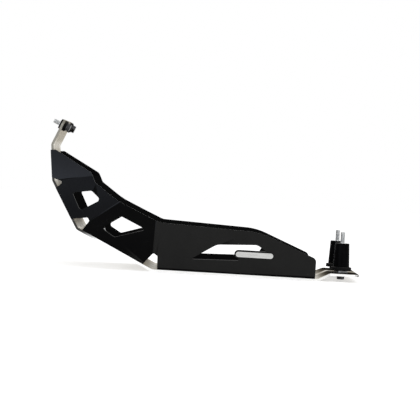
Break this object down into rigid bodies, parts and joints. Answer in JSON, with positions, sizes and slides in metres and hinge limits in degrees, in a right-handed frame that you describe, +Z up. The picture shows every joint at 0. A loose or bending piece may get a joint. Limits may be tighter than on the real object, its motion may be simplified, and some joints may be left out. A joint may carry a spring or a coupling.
{
  "type": "motorcycle skid plate",
  "caption": "Folded aluminium engine guard for a motorcycle, with flared black side panels, relief windows, a front tab and rear spacer mounts.",
  "frame": {"origin": "middle of the part's box, on the level underside of the base plate", "axes": "+X to the rear of the bike, +Y to its right, +Z up"},
  "size_m": [0.5572, 0.2756, 0.2592],
  "materials": {
    "plate_aluminium": "natural rolled sheet, satin",
    "panel_black": "black powder coat over sheet",
    "badge_silver": "brushed, bare",
    "rubber_black": "matt moulded rubber",
    "spacer_black": "satin black paint",
    "zinc_steel": "zinc plated"
  },
  "bodies": {
    "root": {"base_plate": "plate_aluminium", "left_side_panel": "panel_black", "right_side_panel": "panel_black", "badge_plate": "badge_silver", "left_flange_screws": "zinc_steel", "left_flange_nuts": "zinc_steel", "left_rear_bolt": "zinc_steel", "left_rear_washer": "zinc_steel", "left_rear_bush": "zinc_steel", "left_rear_rubber_pad": "rubber_black", "left_rear_spacer": "spacer_black", "left_front_bolt": "zinc_steel", "left_front_washer": "zinc_steel", "left_front_outer_rubber": "rubber_black", "left_front_inner_rubber": "rubber_black", "right_flange_screws": "zinc_steel", "right_flange_nuts": "zinc_steel", "right_rear_bolt": "zinc_steel", "right_rear_washer": "zinc_steel", "right_rear_bush": "zinc_steel", "right_rear_rubber_pad": "rubber_black", "right_rear_spacer": "spacer_black", "right_front_bolt": "zinc_steel", "right_front_washer": "zinc_steel", "right_front_outer_rubber": "rubber_black", "right_front_inner_rubber": "rubber_black"}
  },
  "joints": []
}
